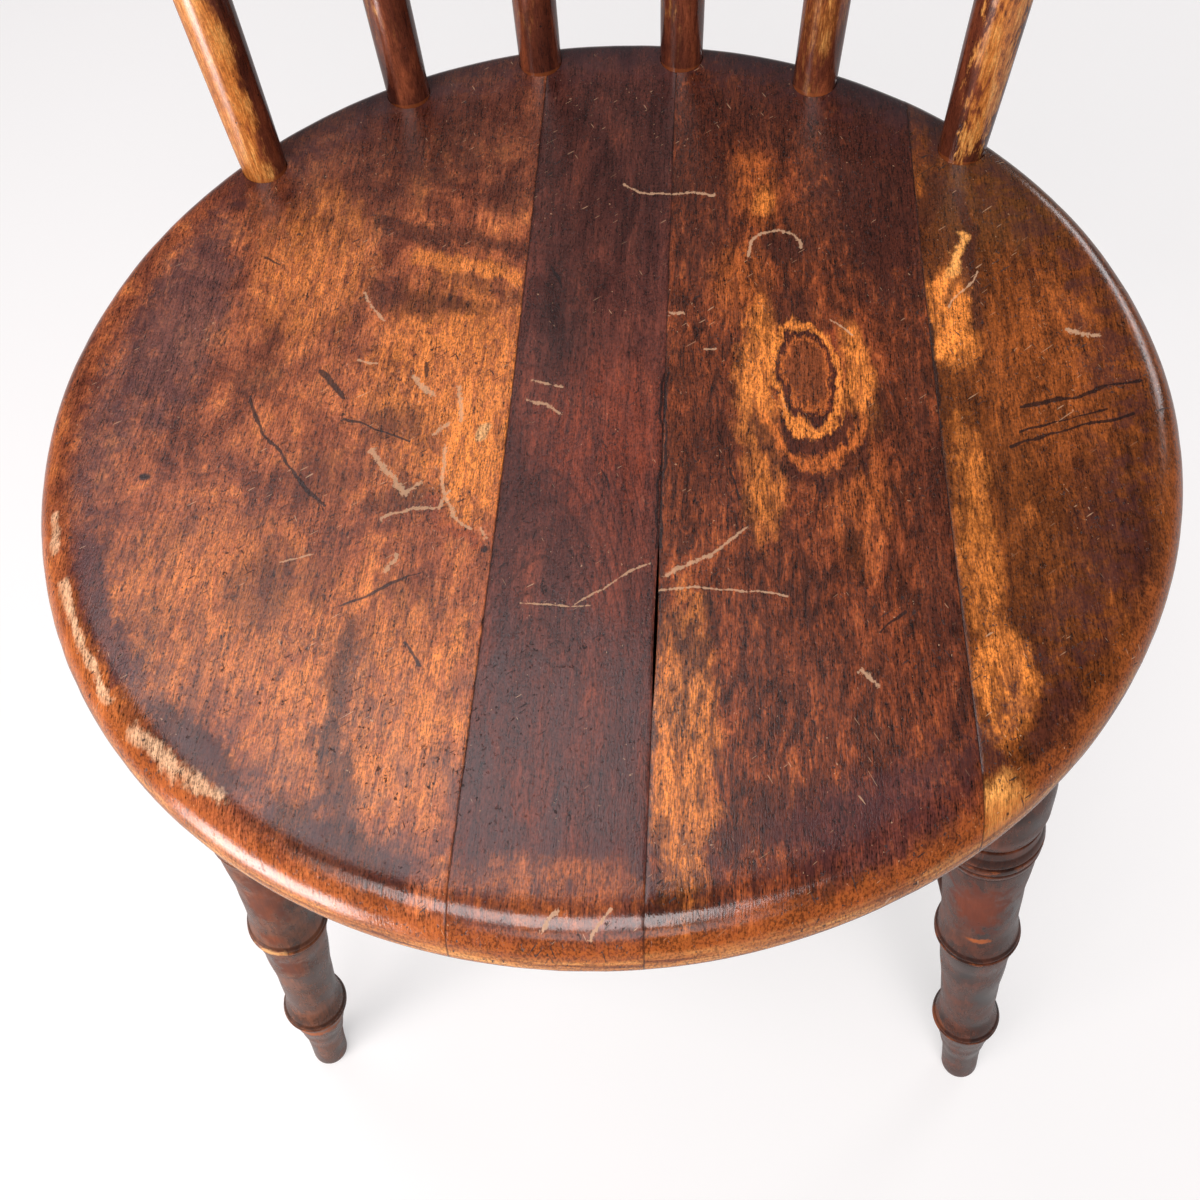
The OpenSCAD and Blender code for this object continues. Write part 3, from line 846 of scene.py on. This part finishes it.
# bare and scuffed places of each leg: height, half height, direction it faces, half turn in degrees, tone
legMarks = {
    "front_left": [
        (233, 2.4, -105, 24, "bare", 0.9), (90, 5, -85, 60, "amber", 0.75), (246, 5, -95, 18, "red", 0.3),
        (205, 14, -85, 24, "red", 0.3), (290, 26, -90, 30, "red", 0.3),
    ],
    "front_right": [
        (256, 2.4, -100, 18, "amber", 0.7), (292, 26, -105, 40, "red", 0.4),
        (106, 6, -170, 26, "amber", 0.35),
    ],
    "back_left": [(236, 6, 110, 40, "amber", 0.6), (98, 6, 100, 50, "amber", 0.5)],
    "back_right": [(236, 6, 60, 40, "amber", 0.6), (98, 6, 70, 50, "amber", 0.5)],
}


legTones = {               # dark and warm varnish; the right front leg kept more of its dark coat
    "left": ((0.036, 0.012, 0.005), (0.115, 0.036, 0.014)),
    "right": ((0.014, 0.005, 0.003), (0.066, 0.018, 0.008)),
}


def legFinish(name, seed, low, high):
    n = Nodes(pieceName("leg_varnish_" + name))
    at = pieceCoordinates(n, low, high)
    height = n.parts(at)[2]
    shift = 9.0 * seed
    clouds = n.noise(at, (12, 12, 26), 5.0, 0.62, 0.5, shift)
    grain = n.noise(at, (0.8, 0.8, 14), 4.0, 0.65, 0.0, shift + 1)
    blotch = n.noise(at, (5, 5, 8), 4.0, 0.65, 0.4, shift + 2)
    dark, warm = legTones["right" if name == "front_right" else "left"]
    colour = n.ramp(clouds, [(0.34, dark), (0.50, warm), (0.68, tuple(1.9 * part for part in warm))])
    shade = n.plus(n.remap(grain, 0.3, 0.7, -0.28, 0.28), n.remap(blotch, 0.3, 0.7, -0.25, 0.25))
    colour = n.shade(colour, n.plus(1.0, shade))
    toLocal = standAlong(low, high).to_3x3().inverted()
    aside = n.vector("NORMALIZE", n.aside(at))
    ragged = n.minus(blotch, 0.5)
    bareMasks = []
    for middle, half, angle, halfTurn, tone, strength in legMarks[name]:
        a = math.radians(angle)
        local = (toLocal @ Vector((math.cos(a), math.sin(a), 0))).normalized()
        facing = n.sum("ARCCOSINE", n.sum("MINIMUM", n.vector("DOT_PRODUCT", aside, tuple(local)), 1.0))
        turned = n.sum("DIVIDE", facing, math.radians(halfTurn))
        lift = n.sum("DIVIDE", n.minus(height, middle), half)
        size = n.sum("SQRT", n.plus(n.times(turned, turned), n.times(lift, lift)))
        mask = n.remap(n.timesPlus(ragged, 3.2, size), 1.35, 0.55)
        colour = n.mix(n.times(mask, strength), colour, tones[tone])
        bareMasks.append(mask)
    # rubbed crests of the rings, and painted shade on the flanks of the beads beside them
    for middle, ringRadius, bead in (ring[:3] for ring in leg["rings"]):
        outer = n.fromAxis(at)
        near = n.remap(n.sum("ABSOLUTE", n.minus(height, middle)), bead + 1, bead - 1)
        crest = n.times(near, n.remap(outer, ringRadius - 0.9, ringRadius + 0.1))
        rub = n.times(crest, n.remap(n.noise(at, (6, 6, 3), 4.0, 0.7, 0, shift + 5), 0.50, 0.66))
        colour = n.lay(rub, 0.45, colour, "amber")
        # painted shade: each bead is darkened where it falls away from its crest
        flankShade = n.times(near, n.remap(outer, ringRadius - 0.25, ringRadius - 0.7))
        colour = n.lay(flankShade, 0.45, colour, "black")
    scuffs = n.remap(n.noise(at, (2.4, 2.4, 9), 4.0, 0.7, 0.6, shift + 7), 0.66, 0.74)
    colour = n.lay(scuffs, 0.45, colour, "amber")
    foot = n.remap(n.plus(height, n.times(ragged, 20)), 16, 4)
    colour = n.lay(foot, 0.3, colour, "haze")
    pits = n.dots(at, 8.0, 0.6, 0.3, shift)
    colour = n.lay(pits, 0.8, colour, "black")
    worn = n.most([*bareMasks, scuffs])
    gloss = n.plus(n.remap(clouds, 0.3, 0.7, 0.20, 0.34), n.times(worn, 0.2))
    rise = n.minus(n.plus(n.times(grain, 0.5), n.times(blotch, 0.5)), pits)
    return n.finish(colour, gloss, rise, 0.06, 0.15)


def makeLeg(name):
    mount, seed = legNames[name]
    node = "leg_" + name
    low, high = centreLine(node, mount)
    total = (high - low).length / mm
    length = total - leg["socketDepth"]
    ball = leg["foot"]
    ballHeight = 0.78 * ball
    section = []
    for angle in range(0, 81, 10):
        a = math.radians(angle)
        section.append((ball * math.sin(a), ballHeight - ball * math.cos(a)))
    height = ballHeight
    while height < total - 0.5:
        section.append((legRadius(height, length), height))
        nearRing = any(abs(height - ring[0]) < 22 for ring in leg["rings"])
        height += 0.55 if nearRing else 2.5
    section += [(leg["tenon"], total), (0, total)]
    bm = settle(spinBody(section, leg["steps"]), low, high, seed, 0.007)
    bmesh.ops.bisect_plane(bm, geom=bm.verts[:] + bm.edges[:] + bm.faces[:], dist=0.001 * mm,
            plane_co=(0, 0, 0), plane_no=(0, 0, 1), clear_inner=True)
    closeHoles(bm)
    finishPiece(bm, pieceName(node), node, legFinish(name, seed, low, high))
    return low, high


legLines = {name: makeLeg(name) for name in legNames}
print("legs made")


stretcher = {
    "endDiameter": 13,
    "middleDiameter": 21,
    "straight": {"side_stretcher_left": 23, "side_stretcher_right": 23, "cross_stretcher": 22.5},
    "steps": 40,
    "rubbed": {"side_stretcher_left": 0.32, "side_stretcher_right": 0.32, "cross_stretcher": 0.42},
}


def stretcherFinish(name, seed, low, high):
    n = Nodes(name + "Varnish")
    at = pieceCoordinates(n, low, high)
    shift = 6.0 * seed
    grain = n.noise(at, (0.8, 0.8, 18), 4.0, 0.65, 0.0, shift)
    clouds = n.noise(at, (10, 10, 34), 5.0, 0.6, 0.4, shift + 1)
    colour = n.ramp(clouds, [(0.32, (0.020, 0.009, 0.007)), (0.52, (0.062, 0.022, 0.014)),
            (0.70, (0.14, 0.040, 0.019))])
    up = standAlong(low, high).to_3x3().inverted() @ Vector((0, 0, 1))
    facing = n.facing(at, up)
    worn = n.plus(n.times(facing, 0.25), n.plus(n.times(grain, 0.3),
            n.times(n.noise(at, (6, 6, 22), 4.0, 0.65, 0.3, shift + 3), 0.7)))
    bare = n.remap(worn, 1.0 - stretcher["rubbed"][name], 1.14 - stretcher["rubbed"][name])
    gold = n.ramp(grain, [(0.30, (0.20, 0.062, 0.018)), (0.70, (0.60, 0.28, 0.09))])
    colour = n.mix(n.times(bare, 0.85), colour, gold)
    shade = n.remap(grain, 0.3, 0.7, 0.72, 1.26)
    colour = n.shade(colour, shade)
    pits = n.dots(at, 7.0, 0.5, 0.3, shift)
    colour = n.lay(pits, 0.8, colour, "black")
    gloss = n.plus(n.remap(clouds, 0.3, 0.7, 0.26, 0.40), n.times(bare, 0.2))
    return n.finish(colour, gloss, n.minus(n.times(grain, 0.6), pits), 0.12, 0.2)


def makeStretcher(node, seed):
    low, high = centreLine(node)
    length = (high - low).length / mm
    ends = stretcher["straight"][node]
    small, large = stretcher["endDiameter"] / 2, stretcher["middleDiameter"] / 2
    section = [(0, 0), (small - 0.6, 0), (small, 0.7)]
    for height in range(3, int(length) - 1, 3):
        share = max(0.0, min(1.0, (height - ends) / (length - 2 * ends)))
        section.append((small + (large - small) * math.sin(math.pi * share) ** 1.4, height))
    section += [(small, length - 0.7), (small - 0.6, length), (0, length)]
    bm = settle(spinBody(section, stretcher["steps"]), low, high, seed)
    finishPiece(bm, pieceName(node), node, stretcherFinish(node, seed, low, high))


for seed, node in enumerate(stretcher["straight"]):
    makeStretcher(node, seed + 11)
print("stretchers made")


rail = {
    "bend": 253,           # radius of the bend at the middle of the lower edge
    "setback": 10.6,       # how far the bend's centre lies in front of the seat's middle
    "halfAngle": 48.5,
    "height": 62,
    "thickness": 20.8,
    "lean": 10,
    "cornerRadius": 46,
    "edgeRadius": 6,
    "steps": 110,
    "wear": 0.35,          # most that the top has sunk
}


def railFinish(middle):
    n = Nodes("railVarnish")
    at = n.place(Matrix.Identity(3), middle)
    radius = n.fromAxis(at)
    across, along, level = n.parts(at)
    around = n.times(n.sum("ARCTAN2", across, along), rail["bend"])
    laid = n.add("ShaderNodeCombineXYZ", (around, radius, level)).outputs[0]
    grain = n.noise(laid, (14, 2.4, 1.0), 4.0, 0.65, 0.0, 3.0)
    clouds = n.noise(laid, (46, 20, 16), 5.0, 0.6, 0.5, 5.0)
    colour = n.ramp(clouds, [(0.30, (0.024, 0.008, 0.006)), (0.50, (0.070, 0.019, 0.011)),
            (0.70, (0.16, 0.038, 0.016))])
    rub = n.noise(laid, (16, 8, 6), 5.0, 0.65, 0.3, 7.0)
    top = n.remap(n.plus(level, n.times(rub, 16)), 62, 72)
    gold = n.ramp(grain, [(0.30, (0.24, 0.07, 0.018)), (0.70, (0.62, 0.27, 0.08))])
    colour = n.mix(n.times(top, 0.75), colour, gold)
    shade = n.remap(grain, 0.3, 0.7, 0.72, 1.28)
    colour = n.shade(colour, shade)
    pits = n.dots(at, 8.0, 0.6, 0.3, 1.0)
    colour = n.lay(pits, 0.8, colour, "black")
    gloss = n.plus(n.remap(clouds, 0.3, 0.7, 0.24, 0.38), n.times(top, 0.14))
    return n.finish(colour, gloss, n.minus(n.times(grain, 0.6), pits), 0.12)


def makeRail():
    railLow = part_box("top_rail")[0]
    lean = math.radians(rail["lean"])
    half, r = rail["thickness"] / 2, rail["edgeRadius"]
    foot = Vector((0, seatMiddle.y - rail["setback"] * mm, railLow.z + half * math.sin(lean) * mm * 0.45))
    bm = bmesh.new()
    section = []
    for cornerX, cornerZ, start in ((half - r, r, -90), (half - r, rail["height"] - r, 0),
            (r - half, rail["height"] - r, 90), (r - half, r, 180)):
        for step in range(0, 91, 15):
            a = math.radians(start + step)
            section.append((cornerX + r * math.cos(a), cornerZ + r * math.sin(a)))
    ring = []
    for x, z in section:
        outward = rail["bend"] + x * math.cos(lean) + z * math.sin(lean)
        ring.append(bm.verts.new((outward * mm, 0, (z * math.cos(lean) - x * math.sin(lean)) * mm)))
    for start, end in zip(ring, ring[1:] + ring[:1]):     # edges only, so the bend is a hollow tube
        bm.edges.new((start, end))
    bmesh.ops.subdivide_edges(bm, edges=[e for e in bm.edges if e.calc_length() > 20 * mm], cuts=10)
    turn = Matrix.Rotation(math.radians(90 - rail["halfAngle"]), 4, "Z")
    bmesh.ops.transform(bm, matrix=turn, verts=bm.verts)
    bmesh.ops.spin(bm, geom=bm.verts[:] + bm.edges[:], cent=(0, 0, 0), axis=(0, 0, 1),
            angle=2 * math.radians(rail["halfAngle"]), steps=rail["steps"])
    closeHoles(bm)
    halfWide = rail["bend"] * math.sin(math.radians(rail["halfAngle"])) + rail["thickness"]
    corner = rail["cornerRadius"]
    for v in bm.verts:
        past = max(0.0, abs(v.co.x) / mm - (halfWide - corner))
        allowed = rail["height"] - corner + math.sqrt(max(0.0, corner ** 2 - past ** 2))
        if v.co.z > 0:
            kept = min(1.0, allowed / rail["height"])
            inward = (1 - kept) * v.co.z * math.tan(lean) / v.co.xy.length
            v.co.xy *= 1 - inward
            v.co.z *= kept
        v.co.z -= rail["wear"] * mm * (1 + waver(v.co / mm, 40, 8)) * smooth(v.co.z / mm / 30)
    capEdges = [e for e in bm.edges if len(e.link_faces) == 2 and e.calc_face_angle(0) > math.radians(60)]
    bmesh.ops.bevel(bm, geom=capEdges, offset=3 * mm, offset_type="OFFSET", affect="EDGES", segments=4,
            profile=0.5, material=-1, clamp_overlap=True)
    bmesh.ops.transform(bm, matrix=Matrix.Translation(foot), verts=bm.verts)
    return finishPiece(bm, "topRail", "top_rail", railFinish(foot))


topRail = makeRail()
print("top rail made")


def cutAllSockets():
    gap = stick["socketGap"]
    stickCuts, railCuts, legCuts = [], [], []
    for low, high in stickLines:
        upward = (high - low).normalized()
        stickCuts.append((low, low + upward * stick["seatCut"] * mm, stick["seatDiameter"] / 2 + gap))
        railCuts.append((high - upward * stick["railCut"] * mm, high, stick["railDiameter"] / 2 + gap))
    for low, high in legLines.values():
        downward = (low - high).normalized()
        legCuts.append((high + downward * leg["seatCut"] * mm, high, leg["tenon"] + gap))
    for piece in boards.values():
        cutSockets(piece, stickCuts + legCuts)
    cutSockets(topRail, railCuts)


cutAllSockets()
print("sockets cut")


floorPaint = {
    "size": 15,
    "colour": (0.58, 0.57, 0.56),
    "glow": 0.44,          # lifts the floor to white for the camera only
    "roughness": 0.9,
    "shine": 0.1,
}


def makeFloor():
    bm = bmesh.new()
    bmesh.ops.create_grid(bm, x_segments=1, y_segments=1, size=floorPaint["size"])
    floor = meshObject("floor", bm)
    n = Nodes("floorPaint")
    n.shader.inputs["Base Color"].default_value = (*floorPaint["colour"], 1)
    n.shader.inputs["Roughness"].default_value = floorPaint["roughness"]
    n.shader.inputs["Specular IOR Level"].default_value = floorPaint["shine"]
    n.shader.inputs["Emission Color"].default_value = (1, 1, 1, 1)
    seen = n.add("ShaderNodeLightPath").outputs["Is Camera Ray"]
    n.set(n.shader.inputs["Emission Strength"], n.times(seen, floorPaint["glow"]))
    floor.data.materials.append(n.material)


# soft lights: place in m, the point each looks at is the seat
lights = {
    "overhead": {"place": (-0.35, -1.2, 2.9), "wide": 1.9, "deep": 1.2, "power": 62,
                 "colour": (1.0, 0.96, 0.97)},
    "front": {"place": (0.1, -2.4, 2.2), "wide": 1.8, "deep": 0.8, "power": 12,
                 "colour": (1.0, 0.96, 1.0)},
    "backLeft": {"place": (-0.65, 1.0, 2.7), "wide": 1.3, "deep": 0.9, "power": 12,
                 "colour": (1.0, 0.95, 1.0)},
    "right": {"place": (1.9, 1.9, 1.25), "wide": 1.2, "deep": 0.6, "power": 12,
                 "colour": (1.0, 0.98, 1.0)},
    "lowLeft": {"place": (-1.2, -1.1, 0.29), "wide": 0.75, "deep": 0.55, "power": 20,
                 "colour": (1.0, 0.94, 0.93)},
}
worldLight = {"colour": (0.96, 0.96, 1.0), "strength": 0.12, "background": 0.97}


def makeLights():
    for name, settings in lights.items():
        data = bpy.data.lights.new(name, "AREA")
        data.shape = "RECTANGLE"
        data.size = settings["wide"]
        data.size_y = settings["deep"]
        data.energy = settings["power"]
        data.color = settings["colour"]
        lamp = link(name, data)
        lamp.location = settings["place"]
        lamp.rotation_euler = (seatMiddle - lamp.location).to_track_quat("-Z", "Y").to_euler()
    world = bpy.data.worlds.new("studio")
    bpy.context.scene.world = world
    world.use_nodes = True
    tree = world.node_tree
    soft = tree.nodes["Background"]
    soft.inputs[0].default_value = (*worldLight["colour"], 1)
    soft.inputs[1].default_value = worldLight["strength"]
    seen = tree.nodes.new("ShaderNodeBackground")
    seen.inputs[1].default_value = worldLight["background"]
    path = tree.nodes.new("ShaderNodeLightPath")
    pick = tree.nodes.new("ShaderNodeMixShader")
    tree.links.new(path.outputs["Is Camera Ray"], pick.inputs[0])
    tree.links.new(soft.outputs[0], pick.inputs[1])
    tree.links.new(seen.outputs[0], pick.inputs[2])
    tree.links.new(pick.outputs[0], tree.nodes["World Output"].inputs[0])


view = {"place": (25.6, -303.3, 747.3), "yaw": -7.0, "pitch": 59.13, "roll": -6.18, "lens": 36.06}


def makeCamera():
    data = bpy.data.cameras.new("camera")
    data.sensor_width = 36
    data.lens = view["lens"]
    data.clip_start = 0.02
    yaw, pitch, roll = (math.radians(view[key]) for key in ("yaw", "pitch", "roll"))
    forward = Vector((math.sin(yaw) * math.cos(pitch), math.cos(yaw) * math.cos(pitch), -math.sin(pitch)))
    side = Vector((math.cos(yaw), -math.sin(yaw), 0))
    upward = side.cross(forward)
    right = math.cos(roll) * side + math.sin(roll) * upward
    up = math.cos(roll) * upward - math.sin(roll) * side
    turn = Matrix((right, up, -forward)).transposed()
    camera = link("camera", data)
    camera.matrix_world = Matrix.Translation(Vector(view["place"]) * mm) @ turn.to_4x4()
    bpy.context.scene.camera = camera


makeFloor()
makeLights()
makeCamera()
bpy.context.scene.view_settings.view_transform = "Standard"
print("floor, lights and camera made")
